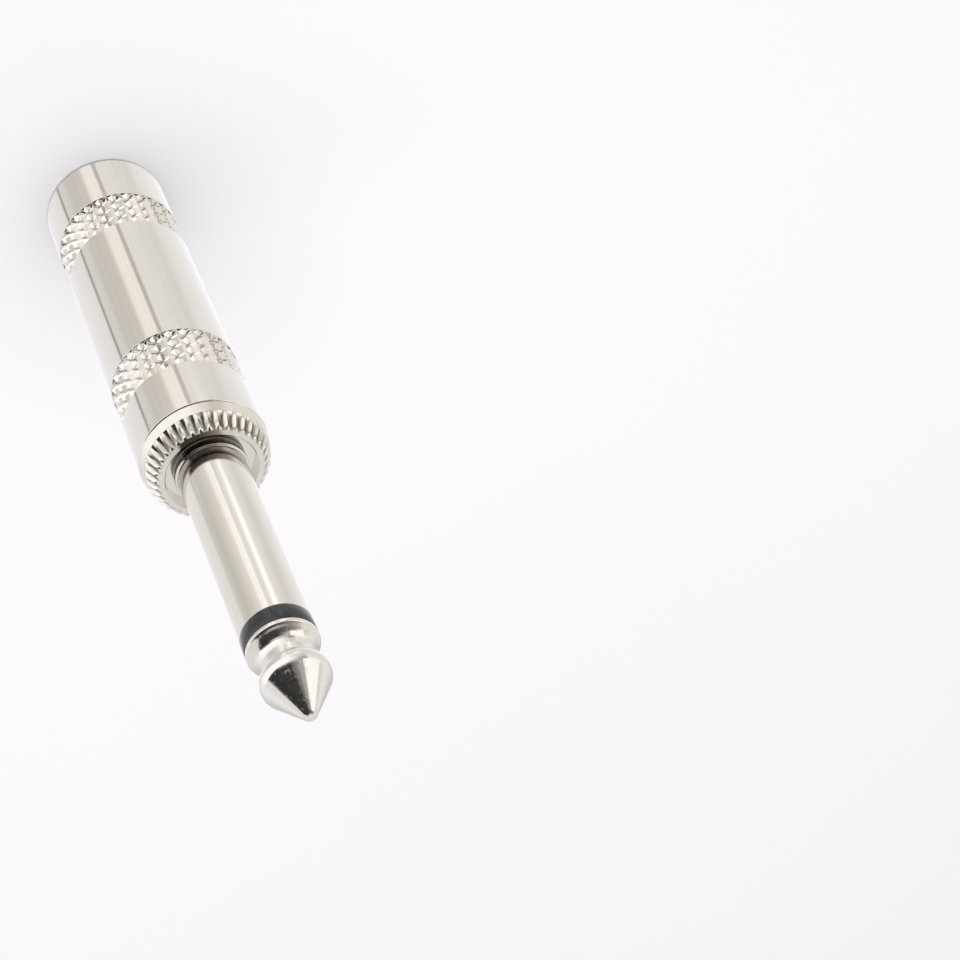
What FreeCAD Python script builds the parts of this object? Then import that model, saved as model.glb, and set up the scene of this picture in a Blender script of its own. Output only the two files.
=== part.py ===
"""Mono 6.35 mm jack plug with a screw-on metal shell.

The plug stands on the rear end of its shell. Z runs along the axis towards the tip,
and the origin is the centre of the rear face. All sizes are in millimetres.
"""
import FreeCAD, Part
import Sketcher
import math
import os
import types

os.makedirs("parts", exist_ok=True)
doc = FreeCAD.newDocument("jack_plug")
sheet = doc.addObject("Spreadsheet::Sheet", "Sizes")

sizes = {
    # Shell
    "shell_length": 41.0,
    "shell_wall": 1.0,
    "rear_wall": 1.3,
    "cable_hole_radius": 3.3,
    "rear_chamfer_width": 0.35,
    "seam_chamfer_width": 0.12,
    "rear_band_height": 6.55,
    "rear_band_length": 5.0,
    "front_band_gap": 6.1,
    "front_band_length": 5.0,
    # Diamond knurl
    "knurl_columns": 26,
    "knurl_half_rows": 7,
    "knurl_depth": 0.42,
    "knurl_seat_depth": 0.12,
    "crest_clearance": 0.03,
    # Screw thread between the shell and the front body, drawn at its crest
    "thread_wall": 0.82,
    "thread_clearance": 0.08,
    "thread_length": 6.1,
    "thread_run_out_length": 0.3,
    "thread_lead_in_length": 0.4,
    "relief_depth": 0.5,
    "relief_length": 0.7,
    # Front body
    "rim_length": 2.75,
    "land_length": 1.05,
    "land_taper_depth": 0.26,
    "bead_radius": 2.0,
    "rim_ridges": 40,
    "face_width": 0.59,
    "face_seat_width": 0.24,
    "recess_gap": 0.875,
    "recess_depth": 0.9,
    # Sleeve contact
    "finger_radius": 3.175,
    "sleeve_length": 21.25,
    "root_collar_step": 0.2,
    "root_collar_length": 1.0,
    "root_collar_chamfer_width": 0.1,
    "spigot_step": 0.675,
    "spigot_wall": 0.55,
    "staked_lip_step": 0.35,
    "staked_lip_length": 0.7,
    # Insulators
    "ring_length": 1.7,
    "ring_wall": 0.875,
    "ring_spigot_length": 1.6,
    "lug_insulator_inset": 0.15,
    "lug_insulator_length": 1.0,
    # Tip contact
    "finger_length": 31.45,
    "rod_radius": 1.1,
    "tip_collar_length": 0.5,
    "tip_collar_chamfer_width": 0.12,
    "neck_depth": 0.975,
    "neck_height": 1.9,
    "neck_hollow_radius": 1.6,
    "ball_step": 0.125,
    "ball_height": 4.0,
    "ball_round_radius": 1.5,
    "nose_radius": 0.75,
    "rivet_step": 0.4,
    "rivet_length": 0.7,
    "rivet_chamfer_width": 0.25,
    # Solder lugs and cable clamp
    "sheet_thickness": 0.6,
    "lug_clearance": 0.22,
    "arm_gap": 0.65,
    "clamp_gap": 3.7,
    "arm_half_angle": 28.0,
    "clamp_half_angle": 112.0,
    "clamp_length": 7.5,
    "shoulder_half_angle": 62.0,
    "shoulder_length": 1.6,
    "ground_hole_radius": 0.8,
    "ground_hole_drop": 5.5,
    "tip_lug_thickness": 0.5,
    "tip_lug_inset": 0.4,
    "tag_half_width": 1.2,
    "tag_length": 8.0,
    "tag_hole_radius": 0.6,
    "tag_hole_rise": 1.5,
    # Insulating tube
    "tube_clearance": 0.28,
    "tube_wall": 0.4,
    "tube_rear_gap": 0.1,
    "tube_front_gap": 0.3,
}


class Dim:
    """A size that carries its number and the expression that gives it."""

    def __init__(self, value, text):
        self.value = float(value)
        self.text = text

    def join(self, other, sign, value, swap=False):
        text = other.text if isinstance(other, Dim) else repr(float(other))
        pair = (text, self.text) if swap else (self.text, text)
        return Dim(value, "(%s %s %s)" % (pair[0], sign, pair[1]))

    def __add__(self, other):
        return self.join(other, "+", self.value + number(other))

    def __sub__(self, other):
        return self.join(other, "-", self.value - number(other))

    def __mul__(self, other):
        return self.join(other, "*", self.value * number(other))

    def __rmul__(self, other):
        return self.join(other, "*", number(other) * self.value, True)

    def __truediv__(self, other):
        return self.join(other, "/", self.value / number(other))

    def __neg__(self):
        return Dim(-self.value, "(0 - %s)" % self.text)


def number(item):
    return item.value if isinstance(item, Dim) else float(item)


def sine(angle):
    return Dim(math.sin(math.radians(angle.value)), "sin(%s * 1deg)" % angle.text)


def cosine(angle):
    return Dim(math.cos(math.radians(angle.value)), "cos(%s * 1deg)" % angle.text)


def root(item):
    return Dim(math.sqrt(item.value), "sqrt(%s)" % item.text)


d = types.SimpleNamespace()
for row, (name, value) in enumerate(sizes.items(), start=1):
    sheet.set("A%d" % row, name)
    sheet.set("B%d" % row, repr(value))
    sheet.setAlias("B%d" % row, name)
    setattr(d, name, Dim(value, "Sizes." + name))
doc.recompute()

# Heights that several pieces share
seam = d.shell_length
front = seam + d.rim_length
land_end = seam + d.land_length
shank_end = seam - d.thread_length
lug_face = shank_end - d.sheet_thickness
lip_end = lug_face - d.staked_lip_length
insulator_end = lip_end - d.lug_insulator_length
tip_lug_end = insulator_end - d.tip_lug_thickness
recess_floor = front - d.recess_depth
collar_top = recess_floor + d.root_collar_length
sleeve_end = front + d.sleeve_length
spigot_end = sleeve_end - d.ring_spigot_length
ring_end = sleeve_end + d.ring_length
tip_end = front + d.finger_length

# Radii that several pieces share, from the finger outwards
spigot_radius = d.finger_radius - d.spigot_step
sleeve_bore = spigot_radius - d.spigot_wall
staked_lip = spigot_radius + d.staked_lip_step
lug_inner = staked_lip + d.arm_gap
lug_radius = lug_inner + d.sheet_thickness
tube_bore = lug_radius + d.lug_clearance
tube_outer = tube_bore + d.tube_wall
shell_bore = tube_outer + d.tube_clearance
shell_radius = shell_bore + d.shell_wall
thread_bore = shell_radius - d.thread_wall
thread_crest = thread_bore - d.thread_clearance
root_collar = d.finger_radius + d.root_collar_step
recess_radius = root_collar + d.recess_gap
face_radius = recess_radius + d.face_width
land_radius = shell_radius - d.land_taper_depth
lug_insulator_radius = staked_lip - d.lug_insulator_inset
tip_lug_radius = lug_insulator_radius - d.tip_lug_inset


def origin_item(body, role):
    for item in body.Origin.OriginFeatures:
        if item.Role == role:
            return item
    raise RuntimeError("no " + role)


def new_body(name):
    body = doc.addObject("PartDesign::Body", name)
    body.Label = name
    return body


def new_sketch(body, name, role, height=None):
    """A sketch on one of the body's own origin planes, lifted along its normal."""
    sketch = body.newObject("Sketcher::SketchObject", name)
    sketch.AttachmentSupport = [(origin_item(body, role), "")]
    sketch.MapMode = "FlatFace"
    if height is not None:
        sketch.setExpression("AttachmentOffset.Base.z", height.text)
    return sketch


def pin_point(sketch, edge, end, x, y):
    """Holds one end of an edge at x, y, each a size or a plain zero."""
    for kind, size, axis in (("DistanceX", x, -2), ("DistanceY", y, -1)):
        if not isinstance(size, Dim):
            sketch.addConstraint(Sketcher.Constraint("PointOnObject", edge, end, axis))
            continue
        rule = Sketcher.Constraint(kind, -1, 1, edge, end, size.value)
        index = sketch.addConstraint(rule)
        sketch.setExpression("Constraints[%d]" % index, size.text)


def draw_outline(sketch, corners):
    """A closed outline. A corner is (x, y), or (x, y, radius, side) where the edge that
    reaches it is an arc with its centre on the left (1) or right (-1) of the travel."""
    ends = []
    for index, corner in enumerate(corners):
        before = corners[index - 1]
        a = FreeCAD.Vector(number(before[0]), number(before[1]), 0)
        b = FreeCAD.Vector(number(corner[0]), number(corner[1]), 0)
        if len(corner) == 2:
            edge = sketch.addGeometry(Part.LineSegment(a, b))
            ends.append((edge, 1, 2))
            continue
        radius = corner[2].value
        chord = b - a
        normal = FreeCAD.Vector(-chord.y, chord.x, 0).normalize() * corner[3]
        centre = (a + b) * 0.5 + normal * math.sqrt(radius ** 2 - (chord.Length / 2) ** 2)
        start = math.atan2(a.y - centre.y, a.x - centre.x)
        stop = math.atan2(b.y - centre.y, b.x - centre.x)
        circle = Part.Circle(centre, FreeCAD.Vector(0, 0, 1), radius)
        if corner[3] > 0:
            edge = sketch.addGeometry(Part.ArcOfCircle(circle, start, stop))
            ends.append((edge, 1, 2))
        else:
            edge = sketch.addGeometry(Part.ArcOfCircle(circle, stop, start))
            ends.append((edge, 2, 1))
        rule = sketch.addConstraint(Sketcher.Constraint("Radius", edge, radius))
        sketch.setExpression("Constraints[%d]" % rule, corner[2].text)
    for index, corner in enumerate(corners):
        edge, first, last = ends[index]
        follower = ends[(index + 1) % len(corners)]
        joint = Sketcher.Constraint("Coincident", edge, last, follower[0], follower[1])
        sketch.addConstraint(joint)
        pin_point(sketch, edge, last, corner[0], corner[1])


def draw_circle(sketch, x, y, radius):
    centre = FreeCAD.Vector(number(x), number(y), 0)
    edge = sketch.addGeometry(Part.Circle(centre, FreeCAD.Vector(0, 0, 1), radius.value))
    pin_point(sketch, edge, 3, x, y)
    rule = sketch.addConstraint(Sketcher.Constraint("Radius", edge, radius.value))
    sketch.setExpression("Constraints[%d]" % rule, radius.text)


def revolve(body, name, corners):
    """Turns a radius-height outline about the plug's axis."""
    sketch = new_sketch(body, name + "_profile", "XZ_Plane")
    draw_outline(sketch, corners)
    turned = body.newObject("PartDesign::Revolution", name)
    turned.Profile = sketch
    turned.ReferenceAxis = (sketch, ["V_Axis"])
    turned.Angle = 360.0


def pad(body, name, sketch, length, reverse=False):
    block = body.newObject("PartDesign::Pad", name)
    block.Profile = sketch
    block.setExpression("Length", length.text)
    block.Reversed = reverse


def ring_pad(body, name, bottom, height, outer, inner):
    sketch = new_sketch(body, name + "_section", "XY_Plane", bottom)
    draw_circle(sketch, 0, 0, outer)
    draw_circle(sketch, 0, 0, inner)
    pad(body, name, sketch, height)


def pocket(body, name, sketch, length):
    """Cuts a sketch through a body, half of the length to each side."""
    doc.recompute()
    before = body.Shape.Volume
    cut = body.newObject("PartDesign::Pocket", name)
    cut.Profile = sketch
    cut.setExpression("Length", length.text)
    cut.SideType = "Symmetric"
    doc.recompute()
    if not cut.Shape.Volume < before - 1e-6:
        raise RuntimeError(name + " cuts nothing")


def polar(radius, height, angle):
    return FreeCAD.Vector(radius * math.cos(angle), radius * math.sin(angle), height)


def triangle(*corners):
    return Part.Face(Part.makePolygon(list(corners) + [corners[0]]))


def faceted_ring(name, skin, bottom_edge, top_edge, seat_radius):
    """A ring with a cut outer skin, flat ends and a round bore that sits on a turned seat."""
    low = bottom_edge[0].z
    high = top_edge[0].z
    faces = list(skin)
    for edge, height in ((bottom_edge, low), (top_edge, high)):
        outer = Part.makePolygon(edge + [edge[0]])
        inner = Part.Wire(Part.makeCircle(seat_radius, FreeCAD.Vector(0, 0, height)))
        faces.append(Part.makeFace([outer, inner], "Part::FaceMakerBullseye"))
    seat = Part.makeCylinder(seat_radius, high - low, FreeCAD.Vector(0, 0, low))
    faces.append(seat.Faces[0])
    shell_of_faces = Part.Shell(faces)
    shell_of_faces.sewShape()
    solid = Part.Solid(shell_of_faces)
    if solid.Volume < 0:
        solid.reverse()
    ring = doc.addObject("Part::Feature", name)
    ring.Shape = solid
    ring.Label = name
    return ring


def knurl_band(name, start, length):
    """Four-sided pyramids, as left where two sets of slanted grooves cross."""
    columns = int(d.knurl_columns.value)
    half_rows = int(d.knurl_half_rows.value)
    valley = shell_radius.value - d.knurl_depth.value
    crest = shell_radius.value - d.crest_clearance.value
    rise = length.value / half_rows

    def point(row, half_column):
        is_crest = (row + half_column) % 2 == 1
        radius = crest if is_crest else valley
        return polar(radius, start.value + rise * row, math.pi * half_column / columns)

    skin = []
    for row in range(half_rows + 1):
        for column in range(columns):
            middle = 2 * column + (row + 1) % 2
            for above in (-1, 1):
                if 0 <= row + above <= half_rows:
                    foot = point(row + above, middle)
                    for beside in (-1, 1):
                        skin.append(triangle(point(row, middle), point(row, middle + beside), foot))
    bottom_edge = [point(0, index) for index in range(2 * columns)]
    top_edge = [point(half_rows, index) for index in range(2 * columns)]
    return faceted_ring(name, skin, bottom_edge, top_edge, valley - d.knurl_seat_depth.value)


def ridged_crown(name):
    """The rounded shoulder of the rim, with a straight groove between each two ridges."""
    ridges = int(d.rim_ridges.value)
    steps = 5
    low = FreeCAD.Vector(land_radius.value - d.crest_clearance.value, 0, land_end.value)
    high = FreeCAD.Vector(face_radius.value, 0, front.value)
    chord = high - low
    outward = FreeCAD.Vector(chord.z, 0, -chord.x).normalize()
    sink = math.sqrt(d.bead_radius.value ** 2 - (chord.Length / 2) ** 2)
    centre = (low + high) * 0.5 - outward * sink
    first = math.atan2(low.z - centre.z, low.x - centre.x)
    last = math.atan2(high.z - centre.z, high.x - centre.x)

    def point(step, half_ridge):
        angle = math.pi * half_ridge / ridges
        if half_ridge % 2:
            at = low + chord * (step / steps)
        else:
            turn = first + (last - first) * step / steps
            at = centre + FreeCAD.Vector(math.cos(turn), 0, math.sin(turn)) * d.bead_radius.value
        return polar(at.x, at.z, angle)

    skin = []
    for half_ridge in range(2 * ridges):
        for step in range(steps):
            a = point(step, half_ridge)
            b = point(step + 1, half_ridge)
            c = point(step, half_ridge + 1)
            e = point(step + 1, half_ridge + 1)
            skin.append(triangle(a, b, c))
            skin.append(triangle(b, e, c))
    bottom_edge = [point(0, index) for index in range(2 * ridges)]
    top_edge = [point(steps, index) for index in range(2 * ridges)]
    return faceted_ring(name, skin, bottom_edge, top_edge, recess_radius.value + d.face_seat_width.value)


def fuse(name, pieces):
    joined = doc.addObject("Part::MultiFuse", name)
    joined.Shapes = pieces
    joined.Refine = False
    joined.Label = name
    return joined


# Shell: a turned tube with a cable hole in its rear wall and two knurled bands
shell_blank = new_body("shell_blank")
band_floor = shell_radius - d.knurl_depth - d.knurl_seat_depth
rear_band_end = d.rear_band_height + d.rear_band_length
front_band_end = seam - d.front_band_gap
front_band_start = front_band_end - d.front_band_length
thread_floor = shank_end - d.thread_run_out_length
revolve(shell_blank, "shell_tube", [
    (d.cable_hole_radius, 0),
    (shell_radius - d.rear_chamfer_width, 0),
    (shell_radius, d.rear_chamfer_width),
    (shell_radius, d.rear_band_height),
    (band_floor, d.rear_band_height),
    (band_floor, rear_band_end),
    (shell_radius, rear_band_end),
    (shell_radius, front_band_start),
    (band_floor, front_band_start),
    (band_floor, front_band_end),
    (shell_radius, front_band_end),
    (shell_radius, seam - d.seam_chamfer_width),
    (shell_radius - d.seam_chamfer_width, seam),
    (thread_bore, seam),
    (thread_bore, thread_floor),
    (shell_bore, thread_floor),
    (shell_bore, d.rear_wall),
    (d.cable_hole_radius, d.rear_wall),
])
rear_knurl = knurl_band("rear_knurl", d.rear_band_height, d.rear_band_length)
front_knurl = knurl_band("front_knurl", front_band_start, d.front_band_length)
shell = fuse("shell", [shell_blank, rear_knurl, front_knurl])

# Insulating tube that lines the shell
insulating_tube = new_body("insulating_tube")
tube_rear = d.rear_wall + d.tube_rear_gap
ring_pad(insulating_tube, "tube", tube_rear, lug_face - d.tube_front_gap - tube_rear, tube_outer, tube_bore)

# Front body: a threaded shank behind a ridged rim, and a round recess in front
front_blank = new_body("front_blank")
revolve(front_blank, "front_turning", [
    (spigot_radius, shank_end),
    (thread_crest - d.thread_lead_in_length, shank_end),
    (thread_crest, shank_end + d.thread_lead_in_length),
    (thread_crest, seam - d.relief_length),
    (thread_crest - d.relief_depth, seam - d.relief_length),
    (thread_crest - d.relief_depth, seam),
    (shell_radius - d.seam_chamfer_width, seam),
    (shell_radius, seam + d.seam_chamfer_width),
    (land_radius, land_end),
    (recess_radius + d.face_seat_width, land_end),
    (recess_radius + d.face_seat_width, front),
    (recess_radius, front),
    (recess_radius, recess_floor),
    (spigot_radius, recess_floor),
])
front_body = fuse("front_body", [front_blank, ridged_crown("rim_crown")])

# Sleeve contact: a tube with a small collar that seats in the recess
sleeve_contact = new_body("sleeve_contact")
ring_spigot = d.finger_radius - d.ring_wall
revolve(sleeve_contact, "sleeve_turning", [
    (sleeve_bore, lip_end),
    (staked_lip, lip_end),
    (staked_lip, lug_face),
    (spigot_radius, lug_face),
    (spigot_radius, recess_floor),
    (root_collar, recess_floor),
    (root_collar, collar_top - d.root_collar_chamfer_width),
    (d.finger_radius, collar_top),
    (d.finger_radius, sleeve_end),
    (ring_spigot, sleeve_end),
    (ring_spigot, spigot_end),
    (sleeve_bore, spigot_end),
])

# Moulded ring between the sleeve and the tip, with a spigot in the sleeve's mouth
tip_insulator = new_body("tip_insulator")
revolve(tip_insulator, "ring_moulding", [
    (d.rod_radius, spigot_end),
    (ring_spigot, spigot_end),
    (ring_spigot, sleeve_end),
    (d.finger_radius, sleeve_end),
    (d.finger_radius, ring_end),
    (d.rod_radius, ring_end),
])

# Tube that keeps the tip's rod off the sleeve
stem_insulator = new_body("stem_insulator")
ring_pad(stem_insulator, "stem_tube", lip_end, spigot_end - lip_end, sleeve_bore, d.rod_radius)

# Tip contact: collar, hollow neck, ball, cone and rounded nose on a long riveted rod
tip_contact = new_body("tip_contact")
collar_end = ring_end + d.tip_collar_length
neck_radius = d.finger_radius - d.neck_depth
ball_radius = d.finger_radius - d.ball_step
ball_level = ring_end + d.ball_height
ball_centre = ball_radius - d.ball_round_radius
ball_reach = neck_radius - ball_centre
neck_top = ball_level - root(d.ball_round_radius * d.ball_round_radius - ball_reach * ball_reach)
nose_height = tip_end - d.nose_radius
spread = nose_height - ball_level
span = root(ball_centre * ball_centre + spread * spread)
# Angle at which the straight cone touches the ball and the nose
lean = Dim(
    math.degrees(math.atan(ball_centre.value / spread.value)
                 + math.asin((d.ball_round_radius.value - d.nose_radius.value) / span.value)),
    "((atan(%s / %s) + asin((%s - %s) / %s)) / 1deg)" % (
        ball_centre.text, spread.text, d.ball_round_radius.text, d.nose_radius.text, span.text))
rivet_radius = d.rod_radius + d.rivet_step
rivet_end = tip_lug_end - d.rivet_length
revolve(tip_contact, "tip_turning", [
    (0, rivet_end),
    (rivet_radius - d.rivet_chamfer_width, rivet_end),
    (rivet_radius, rivet_end + d.rivet_chamfer_width),
    (rivet_radius, tip_lug_end),
    (d.rod_radius, tip_lug_end),
    (d.rod_radius, ring_end),
    (d.finger_radius, ring_end),
    (d.finger_radius, collar_end - d.tip_collar_chamfer_width),
    (d.finger_radius - d.tip_collar_chamfer_width, collar_end),
    (neck_radius, ring_end + d.neck_height, d.neck_hollow_radius, -1),
    (neck_radius, neck_top),
    (ball_centre + d.ball_round_radius * cosine(lean),
     ball_level + d.ball_round_radius * sine(lean), d.ball_round_radius, 1),
    (d.nose_radius * cosine(lean), nose_height + d.nose_radius * sine(lean)),
    (0, tip_end, d.nose_radius, 1),
])

# Ground lug: a stamped ring, a curved arm and a clamp that wraps round the cable
ground_lug = new_body("ground_lug")
clamp_start = d.rear_wall + d.clamp_gap
clamp_end = clamp_start + d.clamp_length
arm_length = lug_face - clamp_end
ring_pad(ground_lug, "ground_ring", lug_face, d.sheet_thickness, lug_radius, spigot_radius)


def bent_strip(name, bottom, height, half_angle):
    """A strip bent to the lug's radius, centred on the -Y side."""
    sketch = new_sketch(ground_lug, name + "_section", "XY_Plane", bottom)
    across = sine(half_angle)
    along = cosine(half_angle)
    draw_outline(sketch, [
        (-(lug_radius * across), -(lug_radius * along)),
        (0, -lug_radius, lug_radius, 1),
        (lug_radius * across, -(lug_radius * along), lug_radius, 1),
        (lug_inner * across, -(lug_inner * along)),
        (0, -lug_inner, lug_inner, -1),
        (-(lug_inner * across), -(lug_inner * along), lug_inner, -1),
    ])
    pad(ground_lug, name, sketch, height)


bent_strip("ground_arm", clamp_end, arm_length, d.arm_half_angle)
bent_strip("clamp_shoulder", clamp_end, d.shoulder_length, d.shoulder_half_angle)
bent_strip("clamp_saddle", clamp_start, d.clamp_length, d.clamp_half_angle)
ground_hole = new_sketch(ground_lug, "ground_hole_section", "XZ_Plane")
draw_circle(ground_hole, 0, lug_face - d.ground_hole_drop, d.ground_hole_radius)
pocket(ground_lug, "ground_hole", ground_hole, 2 * lug_radius)

# Washer that insulates the tip lug from the ground lug
lug_insulator = new_body("lug_insulator")
ring_pad(lug_insulator, "washer", insulator_end, d.lug_insulator_length, lug_insulator_radius, d.rod_radius)

# Tip lug: a ring held by the riveted rod, with a solder tag on the +Y side
tip_lug = new_body("tip_lug")
ring_pad(tip_lug, "tip_ring", tip_lug_end, d.tip_lug_thickness, tip_lug_radius, d.rod_radius)
tag_face = root(tip_lug_radius * tip_lug_radius - d.tag_half_width * d.tag_half_width)
tag_section = new_sketch(tip_lug, "tag_section", "XY_Plane", tip_lug_end)
draw_outline(tag_section, [
    (-d.tag_half_width, tag_face - d.tip_lug_thickness),
    (d.tag_half_width, tag_face - d.tip_lug_thickness),
    (d.tag_half_width, tag_face),
    (-d.tag_half_width, tag_face),
])
pad(tip_lug, "tag", tag_section, d.tag_length, reverse=True)
tag_hole = new_sketch(tip_lug, "tag_hole_section", "XZ_Plane")
draw_circle(tag_hole, 0, tip_lug_end - d.tag_length + d.tag_hole_rise, d.tag_hole_radius)
pocket(tip_lug, "tag_hole", tag_hole, 2 * tip_lug_radius)

doc.recompute()

pieces = [shell, insulating_tube, front_body, sleeve_contact, tip_insulator,
          stem_insulator, tip_contact, ground_lug, lug_insulator, tip_lug]
for item in doc.Objects:
    if "Invalid" in item.State or "Error" in item.State:
        raise RuntimeError("%s failed: %s" % (item.Name, item.State))
for piece in pieces:
    shape = piece.Shape
    if shape.isNull() or not shape.isValid() or len(shape.Solids) != 1:
        raise RuntimeError("%s has a bad shape" % piece.Label)
    print("%-16s volume %.3f, from %.3f to %.3f" % (
        piece.Label, shape.Volume, shape.BoundBox.ZMin, shape.BoundBox.ZMax))
for piece in pieces:
    piece.Shape.exportStep("parts/%s.step" % piece.Label)
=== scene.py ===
import math

import bpy
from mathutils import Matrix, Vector


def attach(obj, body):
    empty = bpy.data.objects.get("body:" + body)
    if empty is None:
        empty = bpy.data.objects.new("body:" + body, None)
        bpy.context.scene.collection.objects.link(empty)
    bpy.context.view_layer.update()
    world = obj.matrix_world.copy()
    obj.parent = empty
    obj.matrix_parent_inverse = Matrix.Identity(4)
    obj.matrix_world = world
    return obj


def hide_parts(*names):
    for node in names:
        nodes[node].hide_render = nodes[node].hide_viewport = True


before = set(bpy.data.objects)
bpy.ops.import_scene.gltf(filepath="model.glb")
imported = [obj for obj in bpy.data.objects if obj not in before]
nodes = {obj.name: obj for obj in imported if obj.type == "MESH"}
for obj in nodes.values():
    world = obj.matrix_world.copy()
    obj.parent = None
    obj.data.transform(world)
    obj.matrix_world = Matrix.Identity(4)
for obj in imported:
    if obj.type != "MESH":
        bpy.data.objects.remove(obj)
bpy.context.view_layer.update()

MM = 0.001
SIDES = 144

# Heights on the plug's axis and radii that several turned pieces share, in millimetres
SHANK_END = 34.9
SEAM = 41.0
LAND_END = 42.05
RECESS_FLOOR = 42.85
FRONT = 43.75
RING_START = 63.4
SLEEVE_END = 65.0
RING_END = 66.7
TIP_END = 75.2
SHELL_R = 6.0
MOUTH_R = 5.5
FINGER_R = 3.175
SLEEVE_SHANK_R = 2.5
RING_SEAT_R = 2.3
STEM_R = 1.95
ROD_R = 1.1

# The thread, the knurls and the rim's ridges
THREAD_PITCH = 0.75
BAND_STARTS = (6.55, 29.9)
BAND_LENGTH = 5.0
BAND_SEAT_R = 5.52
VALLEY_R = 5.59
CREST_R = 5.99
KNURL_COLUMNS = 26
KNURL_HALF_ROWS = 7
RIM_RIDGES = 40
RIDGE_COLUMNS = 8

# Points that lie closer together than this are one
WELD = 0.0002


# Hand tools of the modelling

def take(piece):
    """Leaves everything else out of the selection."""
    bpy.ops.object.select_all(action="DESELECT")
    piece.select_set(True)
    bpy.context.view_layer.objects.active = piece


def pick(piece, test):
    """Selects the points that pass a test of radius, height and angle, in edit mode."""
    bpy.ops.object.mode_set(mode="EDIT")
    bpy.ops.mesh.select_mode(type="VERT")
    bpy.ops.mesh.select_all(action="DESELECT")
    bpy.ops.object.mode_set(mode="OBJECT")
    for point in piece.data.vertices:
        x, y, z = point.co / MM
        point.select = test(math.hypot(x, y), z, math.atan2(y, x))
    bpy.ops.object.mode_set(mode="EDIT")


def widen(factor):
    """Resizes the selected points about the plug's axis."""
    bpy.ops.transform.resize(value=(factor, factor, 1), center_override=(0, 0, 0))


def draw_out(steps, radius, height):
    """Draws the selected ring of points out through (radius, height) steps."""
    for next_radius, next_height in steps:
        rise = (0, 0, (next_height - height) * MM)
        bpy.ops.mesh.extrude_edges_move(TRANSFORM_OT_translate={"value": rise})
        if next_radius == 0:
            bpy.ops.mesh.merge(type="CENTER")
            return
        widen(next_radius / radius)
        radius, height = next_radius, next_height


def turn(name, outline, sides=SIDES, closed=True):
    """Turns a piece on the plug's axis from a circle and its (radius, height) outline."""
    bpy.ops.object.select_all(action="DESELECT")
    radius, height = outline[0]
    bpy.ops.mesh.primitive_circle_add(vertices=sides, radius=radius * MM, enter_editmode=True)
    piece = bpy.context.active_object
    piece.name = name
    bpy.ops.transform.translate(value=(0, 0, height * MM))
    draw_out(outline[1:] + (outline[:1] if closed else []), radius, height)
    if closed:
        join_seams()
    bpy.ops.object.mode_set(mode="OBJECT")
    return piece


def join_seams():
    """Merges the points that meet and turns every face outwards."""
    bpy.ops.mesh.select_all(action="SELECT")
    bpy.ops.mesh.remove_doubles(threshold=WELD * MM)
    bpy.ops.mesh.normals_make_consistent(inside=False)


def ease_edges(piece, width, segments=2, angle=30):
    """Breaks the sharp edges, as a deburring tool does."""
    take(piece)
    edges = piece.modifiers.new("eased edges", "BEVEL")
    edges.width = width * MM
    edges.segments = segments
    edges.limit_method = "ANGLE"
    edges.angle_limit = math.radians(angle)
    bpy.ops.object.modifier_apply(modifier=edges.name)


def smooth(piece, angle=35):
    """Shades the piece as turned: a large face sets the normals up to its eased edge."""
    take(piece)
    bpy.ops.object.shade_smooth_by_angle(angle=math.radians(angle))
    straight = piece.modifiers.new("straight walls", "WEIGHTED_NORMAL")
    straight.keep_sharp = True
    bpy.ops.object.modifier_apply(modifier=straight.name)


def join(piece, *others):
    """Makes one mesh of a piece and its parts."""
    take(piece)
    for other in others:
        other.select_set(True)
    bpy.ops.object.join()
    return piece


def arc(centre, radius, start, stop, count):
    """Points on an arc of a turned outline, with angles in degrees from the radius."""
    points = []
    for index in range(count + 1):
        angle = math.radians(start + (stop - start) * index / count)
        points.append((centre[0] + radius * math.cos(angle), centre[1] + radius * math.sin(angle)))
    return points


def bow(low, high, radius, count):
    """An arc between two points of an outline: it bulges outwards, or inwards if the radius is negative."""
    chord = high - low
    outward = Vector((chord.y, -chord.x)).normalized()
    depth = math.copysign(math.sqrt(radius ** 2 - (chord.length / 2) ** 2), radius)
    centre = (low + high) / 2 - outward * depth
    first, last = (math.degrees(math.atan2(end.y - centre.y, end.x - centre.x)) for end in (low, high))
    sweep = (last - first + 180) % 360 - 180
    return arc(centre, abs(radius), first, first + sweep, count)


# Turned and knurled pieces

def knurl_band(name, start):
    """A ring of four-sided pyramids: every second point of a grid is pulled outwards."""
    inner, margin = 5.5, 0.1
    top = start + BAND_LENGTH
    rise = BAND_LENGTH / KNURL_HALF_ROWS
    steps = [(VALLEY_R, start + rise * row) for row in range(KNURL_HALF_ROWS + 1)]
    band = turn(name, steps, 2 * KNURL_COLUMNS, closed=False)

    def is_crest(radius, height, angle):
        return (round((height - start) / rise) + round(angle / math.pi * KNURL_COLUMNS)) % 2 == 1

    take(band)
    pick(band, is_crest)
    widen(CREST_R / VALLEY_R)
    bpy.ops.mesh.select_all(action="SELECT")
    bpy.ops.mesh.quads_convert_to_tris(quad_method="SHORTEST_DIAGONAL")
    pick(band, lambda radius, height, angle: height > top - margin)
    draw_out([(inner, top), (inner, start)], VALLEY_R, top)
    pick(band, lambda radius, height, angle: height < start + margin)
    bpy.ops.mesh.bridge_edge_loops()
    join_seams()
    bpy.ops.object.mode_set(mode="OBJECT")
    ease_edges(band, 0.05, angle=12)
    return band


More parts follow.
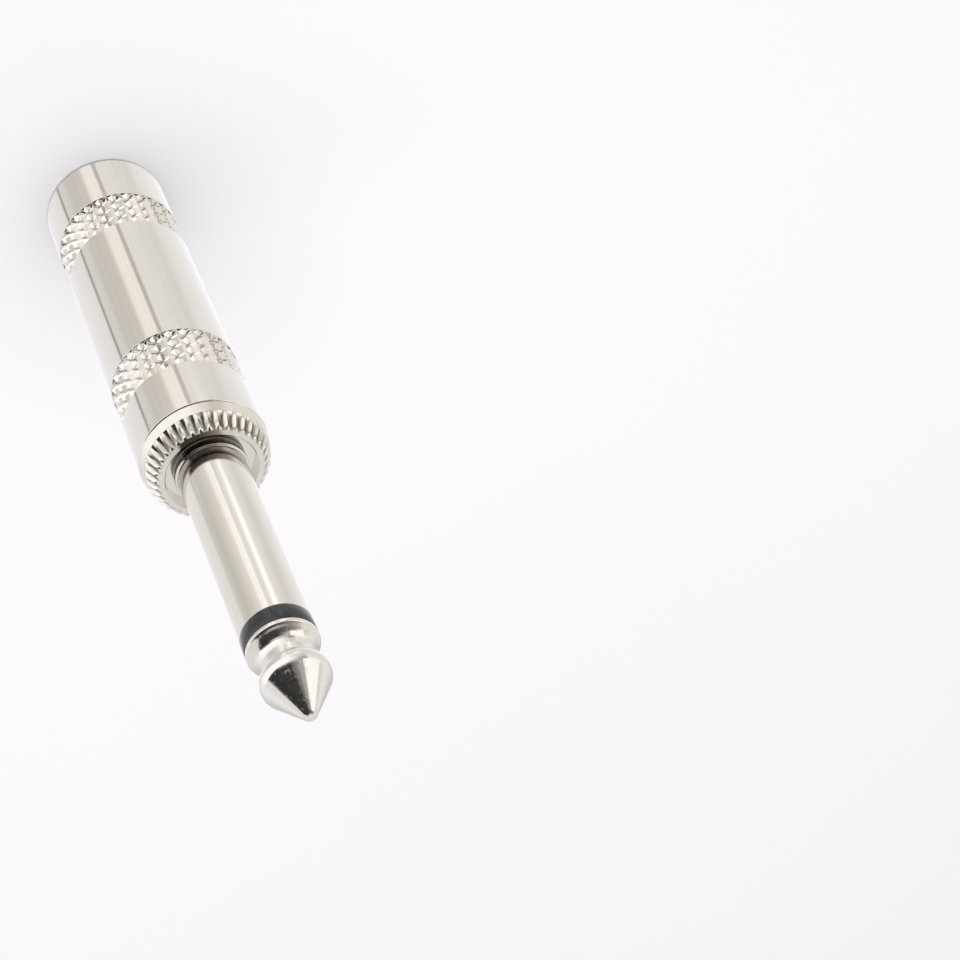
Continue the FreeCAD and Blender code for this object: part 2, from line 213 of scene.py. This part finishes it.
def thread_ridge(name, root, crest, start, turns):
    """A screw thread's ridge: one section, drawn round the axis in a helix."""
    half_foot, half_land = 0.33, 0.07
    bpy.ops.object.select_all(action="DESELECT")
    bpy.ops.mesh.primitive_circle_add(vertices=4, radius=half_foot * MM)
    piece = bpy.context.active_object
    piece.name = name
    corners = ((root, -half_foot), (crest, -half_land), (crest, half_land), (root, half_foot))
    for point, (radius, lift) in zip(piece.data.vertices, corners):
        point.co = (radius * MM, 0, (start + lift) * MM)
    helix = piece.modifiers.new("helix", "SCREW")
    helix.axis = "Z"
    helix.screw_offset = THREAD_PITCH * MM
    helix.iterations = turns
    helix.steps = helix.render_steps = SIDES // 2
    helix.use_merge_vertices = False
    take(piece)
    bpy.ops.object.modifier_apply(modifier=helix.name)
    bpy.ops.object.mode_set(mode="EDIT")
    bpy.ops.mesh.select_mode(type="EDGE")
    bpy.ops.mesh.select_all(action="DESELECT")
    bpy.ops.mesh.select_non_manifold()
    bpy.ops.mesh.edge_face_add()
    bpy.ops.mesh.select_all(action="SELECT")
    bpy.ops.mesh.normals_make_consistent(inside=False)
    bpy.ops.object.mode_set(mode="OBJECT")
    return piece


def coat(piece, material):
    """Gives a piece its material."""
    piece.data.materials.append(material)
    return piece


def make_shell(satin, bright):
    """The screw-on shell: a rear wall, a threaded mouth and two turned-down seats for the knurls."""
    cable_hole, bore, wall, mouth_start = 3.3, 5.0, 1.3, 34.6
    chamfer, lip = 0.35, 0.12
    outline = [(cable_hole, 0), (SHELL_R - chamfer, 0), (SHELL_R, chamfer)]
    for start in BAND_STARTS:
        end = start + BAND_LENGTH
        outline += [(SHELL_R, start), (BAND_SEAT_R, start), (BAND_SEAT_R, end), (SHELL_R, end)]
    outline += [
        (SHELL_R, SEAM - lip), (SHELL_R - lip, SEAM), (MOUTH_R, SEAM), (MOUTH_R, mouth_start),
        (bore, mouth_start), (bore, wall), (cable_hole, wall),
    ]
    tube = turn("shell_tube", outline)
    ease_edges(tube, 0.06)
    smooth(tube)
    coat(tube, satin)
    thread = coat(thread_ridge("shell_thread", root=5.53, crest=5.18, start=35.3, turns=7), satin)
    rear, front = (
        coat(knurl_band(name, start), bright)
        for name, start in zip(("rear_knurl", "front_knurl"), BAND_STARTS))
    return join(tube, thread, rear, front)


def make_rim(plating):
    """The front body: its shoulder is a bead, with a straight groove between each two ridges."""
    shank, relief, relief_start, lead_in = 4.76, 4.6, 40.3, 0.3
    gap, land_foot, land, land_top = 0.07, 5.94, 5.985, 5.74
    recess, edge = 4.25, 0.06
    low, high = Vector((5.71, LAND_END)), Vector((4.84, FRONT))
    groove_depth, near = 0.14, 0.01
    bead = bow(low, high, 2.0, 14)
    sides = RIM_RIDGES * RIDGE_COLUMNS
    rim = turn("front_body_turning", [
        (SLEEVE_SHANK_R, SHANK_END), (shank - edge, SHANK_END), (shank, SHANK_END + lead_in),
        (shank, relief_start), (relief, relief_start), (relief, SEAM), (MOUTH_R, SEAM),
        (MOUTH_R, SEAM + gap), (land_foot, SEAM + gap), (land, SEAM + gap + edge), (land_top, LAND_END),
    ] + bead + [
        (recess + edge, FRONT), (recess, FRONT - edge), (recess, RECESS_FLOOR),
        (SLEEVE_SHANK_R, RECESS_FLOOR),
    ], sides)
    take(rim)
    for radius, height in bead[1:-1]:
        along = (height - low.y) / (high.y - low.y)
        floor = low.x + (high.x - low.x) * along - groove_depth * math.sin(math.pi * along)
        for column in range(RIDGE_COLUMNS // 2):
            groove = floor + (radius - floor) * (2 * column / RIDGE_COLUMNS) ** 2

            def in_column(at_radius, at_height, angle):
                place = round(angle / math.tau * sides) % RIDGE_COLUMNS
                if min(place, RIDGE_COLUMNS - place) != column:
                    return False
                return abs(at_height - height) < near and abs(at_radius - radius) < near

            pick(rim, in_column)
            widen(groove / radius)
    bpy.ops.object.mode_set(mode="OBJECT")
    smooth(rim, 40)
    thread = thread_ridge("shank_thread", root=4.73, crest=5.1, start=35.4, turns=6)
    return coat(join(rim, thread), plating)


def make_sleeve(plating):
    """The sleeve, with the small collar at its root and the staked lip inside."""
    collar, slope = 3.375, 0.1
    lip, lip_start, lip_end = 2.85, 33.6, 34.3
    sleeve = turn("sleeve_tube", [
        (STEM_R, lip_start), (lip, lip_start), (lip, lip_end), (SLEEVE_SHANK_R, lip_end),
        (SLEEVE_SHANK_R, RECESS_FLOOR), (collar, RECESS_FLOOR), (collar, FRONT), (FINGER_R, FRONT + slope),
        (FINGER_R, SLEEVE_END), (RING_SEAT_R, SLEEVE_END), (RING_SEAT_R, RING_START), (STEM_R, RING_START),
    ])
    ease_edges(sleeve, 0.04)
    smooth(sleeve)
    return coat(sleeve, plating)


def make_tip_ring(plastic):
    """The black ring: a short spigot behind it sits in the sleeve's end."""
    ring = turn("tip_ring_moulding", [
        (ROD_R, RING_START), (RING_SEAT_R, RING_START), (RING_SEAT_R, SLEEVE_END), (FINGER_R, SLEEVE_END),
        (FINGER_R, RING_END), (ROD_R, RING_END),
    ])
    ease_edges(ring, 0.05)
    smooth(ring)
    return coat(ring, plastic)


def make_tip(plating):
    """The head: collar, hollow neck, ball, cone and nose, on the rod with its riveted end."""
    collar_end, ball_r, nose_r, hollow_r = 67.08, 1.5, 0.75, 1.6
    rivet, rivet_start, rivet_end, rivet_chamfer, margin = 1.5, 32.1, 31.4, 0.25, 0.1
    collar, neck = Vector((3.055, 67.2)), Vector((2.2, 68.6))
    ball, nose = Vector((1.55, 70.7)), Vector((0, TIP_END - nose_r))
    reach = nose - ball
    lean = math.degrees(math.atan2(ball.x, reach.y) + math.asin((ball_r - nose_r) / reach.length))
    neck_top = ball.y - math.sqrt(ball_r ** 2 - (neck.x - ball.x) ** 2)
    start = math.degrees(math.asin((neck_top - ball.y) / ball_r))
    outline = [(ROD_R, RING_END), (FINGER_R, RING_END), (FINGER_R, collar_end)]
    outline += bow(collar, neck, -hollow_r, 10)
    outline += [(neck.x, neck_top)] + arc(ball, ball_r, start, lean, 24)[1:]
    outline += arc(nose, nose_r, lean, 90, 10)[:-1] + [(0, TIP_END)]
    tip = turn("tip_turning", outline, closed=False)
    pick(tip, lambda radius, height, angle: radius < ROD_R + margin and abs(height - RING_END) < margin)
    draw_out([
        (ROD_R, rivet_start), (rivet, rivet_start), (rivet, rivet_end + rivet_chamfer),
        (rivet - rivet_chamfer, rivet_end), (0, rivet_end),
    ], ROD_R, RING_END)
    join_seams()
    bpy.ops.object.mode_set(mode="OBJECT")
    ease_edges(tip, 0.06, segments=3, angle=35)
    smooth(tip)
    return coat(tip, plating)


# Finishes

class Link:
    """A node's output, on which sums can be written."""

    def __init__(self, finish, socket):
        self.finish = finish
        self.socket = socket

    def sum(self, operation, first, second):
        return self.finish.add("ShaderNodeMath", {"operation": operation}, [first, second])

    def __add__(self, other):
        return self.sum("ADD", self, other)

    __radd__ = __add__

    def __sub__(self, other):
        return self.sum("SUBTRACT", self, other)

    def __rsub__(self, other):
        return self.sum("SUBTRACT", other, self)

    def __mul__(self, other):
        return self.sum("MULTIPLY", self, other)

    __rmul__ = __mul__


class Finish:
    """The nodes of one material or of the surroundings."""

    def __init__(self, owner):
        owner.use_nodes = True
        self.tree = owner.node_tree

    def add(self, kind, settings=None, sockets=None, output=0):
        """Adds a node with its settings first and its sockets next, and returns one of its outputs."""
        node = self.tree.nodes.new(kind)
        for name, value in (settings or {}).items():
            if name == "stops":
                for extra in value[2:]:
                    node.color_ramp.elements.new(extra[0])
                for stop, (place, colour) in zip(node.color_ramp.elements, value):
                    stop.position = place
                    stop.color = (*colour, 1)
            else:
                setattr(node, name, value)
        places = sockets.items() if isinstance(sockets, dict) else enumerate(sockets or [])
        for place, value in places:
            self.feed(node.inputs[place], value)
        return Link(self, node.outputs[output])

    def feed(self, socket, value):
        """Links a node's output to a socket, or sets the socket to a value."""
        if isinstance(value, Link):
            self.tree.links.new(value.socket, socket)
        else:
            socket.default_value = value

    def place(self, scale=(1, 1, 1), turn_z=0.0, output="Object"):
        """The spot's coordinates, stretched and turned."""
        spot = self.add("ShaderNodeTexCoord", output=output)
        sockets = {"Vector": spot, "Scale": scale, "Rotation": (0, 0, turn_z)}
        return self.add("ShaderNodeMapping", {}, sockets)

    def axes(self, spot=None):
        """The spot's place along each axis."""
        spot = spot or self.place()
        return [self.add("ShaderNodeSeparateXYZ", {}, [spot], axis) for axis in range(3)]

    def reach(self, east, north):
        """The spot's distance from the plug's axis."""
        return self.add("ShaderNodeMath", {"operation": "SQRT"}, [east * east + north * north])

    def noise(self, scale, detail=3.0, roughness=0.55):
        """Clouds of a size per metre given for each axis."""
        sockets = {"Vector": self.place(scale), "Scale": 1.0, "Detail": detail, "Roughness": roughness}
        return self.add("ShaderNodeTexNoise", {}, sockets)

    def blend(self, factor, first, second, mode="MIX"):
        settings = {"data_type": "RGBA", "blend_type": mode}
        return self.add("ShaderNodeMix", settings, {0: factor, 6: first, 7: second}, 2)

    def ramp(self, value, stops):
        return self.add("ShaderNodeValToRGB", {"stops": stops}, [value])

    def range(self, value, low, high, new_low=0.0, new_high=1.0):
        return self.add("ShaderNodeMapRange", {}, [value, low, high, new_low, new_high])

    def bump(self, height, distance, strength=1.0):
        sockets = {"Height": height, "Distance": distance * MM, "Strength": strength}
        return self.add("ShaderNodeBump", {}, sockets)


class Coating(Finish):
    """One material, with its Principled surface."""

    def __init__(self, name, **sockets):
        self.material = bpy.data.materials.new(name)
        super().__init__(self.material)
        self.surface = self.tree.nodes["Principled BSDF"]
        for socket, value in sockets.items():
            self.surface.inputs[socket.replace("_", " ")].default_value = value

    def dress(self, base, roughness, relief=None):
        """Gives the surface its colour, roughness and relief."""
        self.feed(self.surface.inputs["Base Color"], base)
        self.feed(self.surface.inputs["Roughness"], roughness)
        if relief:
            self.feed(self.surface.inputs["Normal"], relief)
        return self.material


def colour(red, green, blue):
    return (red, green, blue, 1)


def shell_plating():
    """Satin nickel, with the fine rings that turning leaves and a slight cloudiness."""
    work = Coating("satin_nickel", Metallic=1.0, Anisotropic=0.6, Anisotropic_Rotation=0.25)
    cloud = work.noise((260, 260, 180), 4)
    rings = work.noise((40, 40, 9000), 3)
    scuffs = work.range(work.noise((900, 900, 2600), 5, 0.7), 0.62, 0.74)
    base = work.blend(cloud, colour(0.80, 0.785, 0.765), colour(0.86, 0.85, 0.835))
    base = work.blend(scuffs * 0.3, base, colour(0.94, 0.93, 0.92))
    roughness = 0.055 + 0.03 * cloud + 0.03 * rings + 0.08 * scuffs
    return work.dress(base, roughness, work.bump(rings + 0.4 * scuffs, 0.002, 0.7))


def knurl_plating():
    """The same nickel where the knurling tool has pressed it bright, with brown painted shade in the
    valleys.
    """
    shade_start, shade_end, raggedness = VALLEY_R - 0.02, VALLEY_R + 0.06, 0.06
    work = Coating("pressed_nickel", Metallic=1.0)
    cloud = work.noise((900, 900, 900), 4)
    east, north, _ = work.axes()
    depth = work.reach(east, north) - raggedness * MM * cloud
    # Painted shade: the colour turns dark brown towards the valley floor, where shade falls between the
    # pyramids.
    painted_shade = work.range(depth, shade_start * MM, shade_end * MM, 1.0, 0.0)
    base = work.blend(cloud, colour(0.82, 0.795, 0.765), colour(0.93, 0.915, 0.89))
    base = work.blend(painted_shade * 0.7, base, colour(0.20, 0.155, 0.11))
    return work.dress(base, 0.07 + 0.08 * cloud, work.bump(cloud, 0.01, 0.5))


def rim_plating():
    """Bright nickel, with painted shade at the bottom of the rim's grooves."""
    crown_foot, crown_start, ring_edge, crown_edge = LAND_END + 0.1, LAND_END + 0.4, 4.7, 4.95
    work = Coating("bright_nickel", Metallic=1.0)
    cloud = work.noise((420, 420, 420), 4)
    rings = work.noise((60, 60, 7000), 2)
    east, north, height = work.axes()
    bearing = work.add("ShaderNodeMath", {"operation": "ARCTAN2"}, [north, east])
    turns = bearing * (RIM_RIDGES / math.tau)
    crest = work.add("ShaderNodeMath", {"operation": "PINGPONG"}, [turns, 0.5]) * 2
    above_land = work.range(height, crown_foot * MM, crown_start * MM)
    off_ring = work.range(work.reach(east, north), ring_edge * MM, crown_edge * MM)
    # Painted shade: the colour turns near black in the grooves between the ridges, on the crown above the
    # land.
    painted_shade = work.range(crest + 0.2 * cloud, 0.25, 0.8, 1.0, 0.0) * (above_land * off_ring)
    base = work.blend(cloud, colour(0.78, 0.755, 0.72), colour(0.88, 0.86, 0.83))
    base = work.blend(painted_shade * 0.92, base, colour(0.10, 0.085, 0.06))
    roughness = 0.08 + 0.05 * cloud + 0.02 * rings + 0.1 * painted_shade
    return work.dress(base, roughness, work.bump(rings, 0.003, 0.4))


def contact_plating(name, dullness, ring_count, ring_depth):
    """Polished nickel, with turning rings, hairline marks and painted shade in the corner at its root."""
    fade_in, fade_out = RECESS_FLOOR - 0.1, FRONT - 0.08
    work = Coating(name, Metallic=1.0, Anisotropic=0.5, Anisotropic_Rotation=0.25)
    cloud = work.noise((300, 300, 120), 4)
    hairs = work.range(work.noise((5200, 5200, 130), 3, 0.6), 0.60, 0.72)
    rings = work.noise((50, 50, ring_count), 3)
    height = work.axes()[2]
    # Painted shade: the colour turns near black at the root, from just below the recess floor up to the
    # front face.
    painted_shade = work.range(height, fade_in * MM, RECESS_FLOOR * MM)
    painted_shade = painted_shade * work.range(height, fade_out * MM, FRONT * MM, 1.0, 0.0)
    base = work.blend(cloud, colour(0.82, 0.81, 0.795), colour(0.88, 0.87, 0.855))
    base = work.blend(painted_shade * 0.95, base, colour(0.07, 0.06, 0.045))
    base = work.blend(hairs * 0.2, base, colour(0.95, 0.94, 0.93))
    roughness = dullness + 0.04 * cloud + 0.02 * rings + 0.05 * hairs
    return work.dress(base, roughness, work.bump(rings + 0.3 * hairs, ring_depth))


def lug_plating():
    """Tinned brass sheet with rolling marks and a dull bloom."""
    work = Coating("tinned_brass", Metallic=1.0)
    cloud = work.noise((500, 500, 500), 5)
    rolled = work.noise((4000, 4000, 60), 3)
    base = work.blend(cloud, colour(0.66, 0.63, 0.56), colour(0.80, 0.79, 0.76))
    return work.dress(base, 0.28 + 0.16 * cloud + 0.05 * rolled, work.bump(rolled + cloud, 0.006, 0.5))


def ring_plastic():
    """Glossy black moulding with a few fine scratches."""
    work = Coating("glossy_black_moulding", Specular_IOR_Level=0.65)
    cloud = work.noise((700, 700, 700), 3)
    hairs = work.range(work.noise((600, 600, 6500), 3, 0.6), 0.62, 0.72)
    base = work.blend(cloud, colour(0.007, 0.008, 0.014), colour(0.017, 0.018, 0.03))
    return work.dress(base, 0.05 + 0.05 * cloud + 0.15 * hairs, work.bump(cloud + 0.3 * hairs, 0.004, 0.3))


def inner_plastic():
    """Plain black moulding of the parts that the shell hides."""
    work = Coating("black_moulding")
    cloud = work.noise((1500, 1500, 1500), 4)
    base = work.blend(cloud, colour(0.015, 0.015, 0.016), colour(0.035, 0.034, 0.034))
    return work.dress(base, 0.42 + 0.15 * cloud, work.bump(cloud, 0.01, 0.4))


def liner_plastic():
    """Milky drawn tube, with the faint lines of the die along it."""
    work = Coating("milky_tube", Subsurface_Weight=0.25, Subsurface_Scale=0.001)
    cloud = work.noise((300, 300, 200), 3)
    drawn = work.noise((3500, 3500, 40), 2)
    base = work.blend(cloud, colour(0.74, 0.72, 0.66), colour(0.84, 0.83, 0.78))
    return work.dress(base, 0.34 + 0.1 * cloud, work.bump(drawn, 0.006, 0.4))


# Studio: a pale table, light cards that only the plating mirrors, and one soft lamp

VIEW_TURN = math.radians(79.7)

# Each list of cards is a ring of light round the plug, as (place, colour). Place 0.5 is straight
# towards the camera, 0.25 is on its right, 0.75 on its left, and 0 and 1 are behind the plug.
# The shell's straight wall mirrors the lowest ring.
SHELL_CARDS = (
    (0.0, (1.12, 1.11, 1.15)),
    (0.10, (1.03, 1.02, 1.05)),
    (0.167, (0.95, 0.94, 0.93)),
    (0.256, (0.90, 0.87, 0.84)),
    (0.31, (0.80, 0.77, 0.73)),
    (0.40, (0.86, 0.83, 0.79)),
    (0.463, (0.90, 0.86, 0.81)),
    (0.469, (0.52, 0.49, 0.45)),
    (0.484, (0.62, 0.59, 0.54)),
    (0.490, (1.02, 0.96, 0.88)),
    (0.546, (0.98, 0.92, 0.84)),
    (0.560, (0.70, 0.66, 0.61)),
    (0.62, (0.67, 0.63, 0.58)),
    (0.656, (0.67, 0.65, 0.62)),
    (0.672, (0.76, 0.73, 0.69)),
    (0.708, (0.80, 0.76, 0.73)),
    (0.715, (0.30, 0.28, 0.26)),
    (0.720, (0.32, 0.30, 0.28)),
    (0.729, (0.88, 0.85, 0.83)),
    (0.80, (0.92, 0.89, 0.88)),
    (0.92, (0.94, 0.93, 0.97)),
    (1.0, (1.12, 1.11, 1.15)),
)
# The finger stands nearer to the camera, so its wall mirrors a ring a little higher up
FINGER_CARDS = (
    (0.0, (1.10, 1.08, 1.10)),
    (0.10, (0.98, 0.96, 0.96)),
    (0.22, (0.87, 0.83, 0.79)),
    (0.29, (0.75, 0.71, 0.66)),
    (0.35, (0.83, 0.79, 0.74)),
    (0.39, (0.92, 0.89, 0.83)),
    (0.404, (1.25, 1.22, 1.18)),
    (0.424, (1.25, 1.22, 1.18)),
    (0.45, (0.86, 0.82, 0.77)),
    (0.475, (0.86, 0.82, 0.77)),
    (0.492, (1.18, 1.12, 1.05)),
    (0.525, (1.08, 1.03, 0.97)),
    (0.55, (0.84, 0.79, 0.73)),
    (0.60, (0.73, 0.69, 0.61)),
    (0.656, (0.62, 0.59, 0.53)),
    (0.725, (0.70, 0.67, 0.63)),
    (0.745, (0.86, 0.82, 0.77)),
    (0.90, (0.89, 0.86, 0.86)),
    (1.0, (1.10, 1.08, 1.10)),
)
# The slopes of the knurls, of the ridges and of the neck mirror what lies up to the horizon
SLOPE_CARDS = (
    (0.0, (0.66, 0.65, 0.65)),
    (0.05, (0.58, 0.57, 0.57)),
    (0.10, (0.66, 0.65, 0.64)),
    (0.13, (0.82, 0.80, 0.78)),
    (0.22, (0.86, 0.83, 0.79)),
    (0.33, (0.88, 0.85, 0.80)),
    (0.355, (0.74, 0.70, 0.65)),
    (0.395, (0.68, 0.64, 0.59)),
    (0.42, (0.80, 0.77, 0.73)),
    (0.50, (1.15, 1.12, 1.07)),
    (0.74, (1.15, 1.13, 1.11)),
    (0.82, (0.95, 0.93, 0.92)),
    (0.89, (0.74, 0.73, 0.72)),
    (0.95, (0.58, 0.57, 0.57)),
    (1.0, (0.66, 0.65, 0.65)),
)
HORIZON_CARDS = (
    (0.0, (0.50, 0.49, 0.49)),
    (0.08, (0.56, 0.55, 0.54)),
    (0.12, (0.76, 0.74, 0.72)),
    (0.15, (0.92, 0.90, 0.88)),
    (0.20, (0.92, 0.89, 0.86)),
    (0.262, (1.08, 1.05, 0.99)),
    (0.34, (1.08, 1.05, 0.99)),
    (0.36, (0.34, 0.31, 0.28)),
    (0.395, (0.26, 0.23, 0.20)),
    (0.42, (0.62, 0.58, 0.53)),
    (0.45, (0.94, 0.91, 0.86)),
    (0.51, (1.3, 1.28, 1.25)),
    (0.55, (1.5, 1.49, 1.47)),
    (0.735, (1.5, 1.49, 1.47)),
    (0.755, (0.98, 0.96, 0.94)),
    (0.86, (0.92, 0.90, 0.89)),
    (0.92, (0.62, 0.61, 0.60)),
    (1.0, (0.50, 0.49, 0.49)),
)
# The cone and the collar mirror the room above the horizon: a bright window on the right, darkness
# in front and on the left, and a grey wall behind
WINDOW_SIDE = (
    (0.0, (0.80, 0.78, 0.76)),
    (0.19, (0.86, 0.83, 0.79)),
    (0.235, (0.72, 0.69, 0.64)),
    (0.25, (0.78, 0.75, 0.70)),
    (0.26, (1.15, 1.12, 1.05)),
    (0.38, (1.2, 1.17, 1.10)),
    (0.395, (0.42, 0.40, 0.38)),
)
WALL_SIDE = (
    (0.708, (0.03, 0.03, 0.03)),
    (0.724, (0.82, 0.79, 0.77)),
    (1.0, (0.80, 0.78, 0.76)),
)
ROOM_CARDS = WINDOW_SIDE + (
    (0.43, (0.50, 0.48, 0.46)),
    (0.48, (0.60, 0.58, 0.56)),
    (0.53, (0.80, 0.78, 0.76)),
    (0.58, (0.45, 0.43, 0.41)),
    (0.605, (0.04, 0.04, 0.035)),
) + WALL_SIDE
BEAM_CARDS = WINDOW_SIDE + (
    (0.42, (0.50, 0.48, 0.46)),
    (0.45, (0.26, 0.25, 0.24)),
    (0.475, (0.20, 0.19, 0.18)),
    (0.497, (0.04, 0.04, 0.035)),
) + WALL_SIDE
CEILING_CARDS = (
    (0.0, (0.80, 0.78, 0.76)),
    (0.24, (0.84, 0.80, 0.75)),
    (0.30, (0.34, 0.30, 0.26)),
    (0.42, (0.15, 0.12, 0.10)),
    (0.50, (0.06, 0.05, 0.045)),
    (0.69, (0.04, 0.035, 0.03)),
    (0.715, (0.80, 0.77, 0.75)),
    (1.0, (0.80, 0.78, 0.76)),
)
# The rings from below upwards, each with the sines of the elevations between which it fades in
CARD_RINGS = (
    (-0.765, -0.750, FINGER_CARDS),
    (-0.66, -0.50, SLOPE_CARDS),
    (-0.22, -0.09, HORIZON_CARDS),
    (-0.02, 0.06, ROOM_CARDS),
    (0.19, 0.27, BEAM_CARDS),
    (0.42, 0.50, CEILING_CARDS),
)


def table():
    """The pale table, which the plating doesn't mirror, because the cards stand in for it."""
    bpy.ops.object.select_all(action="DESELECT")
    bpy.ops.mesh.primitive_plane_add(size=8)
    top = bpy.context.active_object
    top.name = "table_top"
    work = Coating("pale_table")
    cloud = work.noise((9, 9, 9), 3)
    coat(top, work.dress(work.blend(cloud, colour(0.80, 0.80, 0.845), colour(0.82, 0.82, 0.865)), 0.5))
    top.visible_glossy = False


def surroundings():
    """The rings of cards, a white ceiling above them and fine streaks over them all."""
    ceiling_start, ceiling_full = 0.86, 0.95
    world = bpy.data.worlds.new("studio")
    bpy.context.scene.world = world
    work = Finish(world)
    spot = work.place(turn_z=VIEW_TURN, output="Generated")
    radial = work.add("ShaderNodeTexGradient", {"gradient_type": "RADIAL"}, [spot])
    height = work.axes(spot)[2]
    light = work.ramp(radial, SHELL_CARDS)
    for low, high, cards in CARD_RINGS:
        light = work.blend(work.range(height, low, high), light, work.ramp(radial, cards))
    light = work.blend(work.range(height, ceiling_start, ceiling_full), light, colour(0.88, 0.86, 0.84))
    sockets = {"W": radial, "Scale": 110.0, "Detail": 4.0}
    streaks = work.add("ShaderNodeTexNoise", {"noise_dimensions": "1D"}, sockets)
    light = work.blend(1.0, light, work.range(streaks, 0.3, 0.7, 0.95, 1.06), "MULTIPLY")
    background = work.tree.nodes["Background"]
    work.feed(background.inputs["Color"], light)
    background.inputs["Strength"].default_value = 1.0


def soft_box(name, place, size, power, tint):
    """A round lamp that points at the middle of the plug and shows in no mirror."""
    aim = Vector((0, 0, 0.03))
    lamp = bpy.data.lights.new(name, "AREA")
    lamp.shape = "DISK"
    lamp.size = size
    lamp.energy = power
    lamp.color = tint
    box = bpy.data.objects.new(name, lamp)
    box.location = place
    box.rotation_euler = (aim - Vector(place)).to_track_quat("-Z", "Y").to_euler()
    box.visible_glossy = False
    bpy.context.scene.collection.objects.link(box)


def camera():
    """Sees the standing plug as the photograph shows it lying down."""
    place, turn_degrees = (0.0246, -0.1358, 0.2007), (-40.6209, -19.2264, 177.8205)
    lens = bpy.data.cameras.new("camera")
    lens.lens = 88.26
    lens.sensor_width = 36.0
    lens.clip_start = 0.01
    holder = bpy.data.objects.new("camera", lens)
    holder.location = place
    holder.rotation_euler = [math.radians(angle) for angle in turn_degrees]
    bpy.context.scene.collection.objects.link(holder)
    bpy.context.scene.camera = holder


camera()
table()
surroundings()
soft_box("overhead", (0.1, -0.15, 0.9), 0.7, 6.0, (1.0, 0.99, 0.98))
bpy.context.scene.view_settings.view_transform = "Standard"

shell_nickel = shell_plating()
knurl_nickel = knurl_plating()
rim_nickel = rim_plating()
tinned_sheet = lug_plating()
sleeve_nickel = contact_plating("polished_nickel", 0.06, 8000, 0.0015)
tip_nickel = contact_plating("turned_nickel", 0.09, 3000, 0.02)
black_ring = ring_plastic()
inner_black = inner_plastic()
milky_liner = liner_plastic()

for piece, node, body, slot in (
    (make_shell(shell_nickel, knurl_nickel), "shell", "shell", "shell_plating"),
    (make_rim(rim_nickel), "front_body", "contacts", "rim_plating"),
    (make_sleeve(sleeve_nickel), "sleeve_contact", "contacts", "contact_plating"),
    (make_tip_ring(black_ring), "tip_insulator", "contacts", "ring_plastic"),
    (make_tip(tip_nickel), "tip_contact", "contacts", "contact_plating"),
):
    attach(piece, body)
    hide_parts(node)

for node, material in (
    ("insulating_tube", milky_liner),
    ("stem_insulator", inner_black),
    ("lug_insulator", inner_black),
    ("ground_lug", tinned_sheet),
    ("tip_lug", tinned_sheet),
):
    for place in nodes[node].material_slots:
        place.material = material
